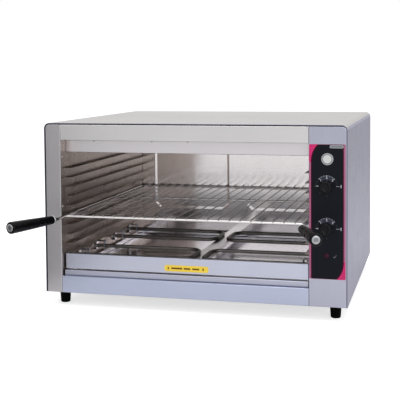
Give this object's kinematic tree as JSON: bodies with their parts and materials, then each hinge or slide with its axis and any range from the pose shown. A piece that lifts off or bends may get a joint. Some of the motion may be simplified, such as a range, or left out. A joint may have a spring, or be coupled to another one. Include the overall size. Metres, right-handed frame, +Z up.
{
  "type": "cheese melter",
  "caption": "Countertop electric melter: open-fronted stainless cabinet, sliding wire rack with two splayed grips, hairpin elements above and below, drip tray, side control column",
  "frame": {"origin": "middle of the overall outline, on the surface that the feet stand on", "axes": "+X to the viewer's right when facing the open front, +Y from the open front to the back, +Z up"},
  "size_m": [0.6606, 0.7782, 0.397],
  "materials": {
    "stainless": "fine brushed stainless sheet",
    "liner_steel": "dull steel sheet, slightly heat-tinted",
    "element_sheath": "oxidised dark heating-element sheath",
    "chromed_wire": "bright chrome plate",
    "aluminium": "satin",
    "bakelite": "black phenolic, semi-gloss",
    "knob_plastic": "black moulded plastic, satin",
    "panel_overlay": "printed overlay, near-black field with a magenta border",
    "switch_body": "cream ceramic and moulded plastic",
    "lamp_lens": "dark red lens, unlit",
    "wire_sleeve": "woven silicone sleeve",
    "gland_plastic": "black nylon",
    "foot_rubber": "black rubber",
    "mineral_wool": "fibrous wool board"
  },
  "bodies": {
    "cabinet": {"outer_wrapper": "stainless", "rear_cover": "stainless", "base_pan": "stainless", "left_stile": "stainless", "control_fascia": "stainless", "top_rail": "stainless", "bottom_rail": "stainless", "valance": "stainless", "apron": "stainless", "cavity_left_wall": "liner_steel", "cavity_right_wall": "liner_steel", "cavity_back": "liner_steel", "cavity_ceiling": "liner_steel", "runner_left_1": "liner_steel", "runner_left_2": "liner_steel", "runner_left_3": "liner_steel", "runner_left_4": "liner_steel", "runner_left_5": "liner_steel", "runner_right_1": "liner_steel", "runner_right_2": "liner_steel", "runner_right_3": "liner_steel", "runner_right_4": "liner_steel", "runner_right_5": "liner_steel", "tray_runner_left": "stainless", "tray_runner_right": "stainless", "lower_stay": "liner_steel", "upper_stay": "liner_steel", "lower_element_front_left": "element_sheath", "lower_element_front_right": "element_sheath", "lower_element_rear_left": "element_sheath", "lower_element_rear_right": "element_sheath", "upper_element_front_left": "element_sheath", "upper_element_front_right": "element_sheath", "upper_element_rear_left": "element_sheath", "upper_element_rear_right": "element_sheath", "element_nuts": "chromed_wire", "element_hangers": "liner_steel", "roof_insulation": "mineral_wool", "control_panel": "panel_overlay", "thermostats": "switch_body", "indicator_lamp": "lamp_lens", "terminal_block": "switch_body", "wiring_loom": "wire_sleeve", "cable_gland": "gland_plastic", "rear_screws": "chromed_wire", "feet": "foot_rubber"},
    "rack": {"rack_border": "chromed_wire", "rack_wires": "chromed_wire", "handle_rod_left": "chromed_wire", "handle_rod_right": "chromed_wire", "grip_left": "bakelite", "grip_right": "bakelite", "grip_ferrules": "aluminium", "grip_nuts": "chromed_wire", "grip_caps": "chromed_wire"},
    "tray": {"drip_tray": "stainless"},
    "knob_top_turn": {"knob_top": "knob_plastic", "spindle_top": "chromed_wire"},
    "knob_bottom_turn": {"knob_bottom": "knob_plastic", "spindle_bottom": "chromed_wire"}
  },
  "joints": [
    {"name": "rack_slide", "type": "slide", "parent": "cabinet", "child": "rack", "axis": [0, -1, 0], "range_m": [0, 0.4]},
    {"name": "tray_slide", "type": "slide", "parent": "cabinet", "child": "tray", "axis": [0, -1, 0], "range_m": [0, 0.42]},
    {"name": "knob_top_hinge", "type": "hinge", "parent": "cabinet", "child": "knob_top_turn", "pos_m": [0.28879, -0.21633, 0.2745], "axis": [0, 1, 0], "range_deg": [0, 270]},
    {"name": "knob_bottom_hinge", "type": "hinge", "parent": "cabinet", "child": "knob_bottom_turn", "pos_m": [0.28879, -0.21633, 0.189], "axis": [0, 1, 0], "range_deg": [0, 270]}
  ]
}
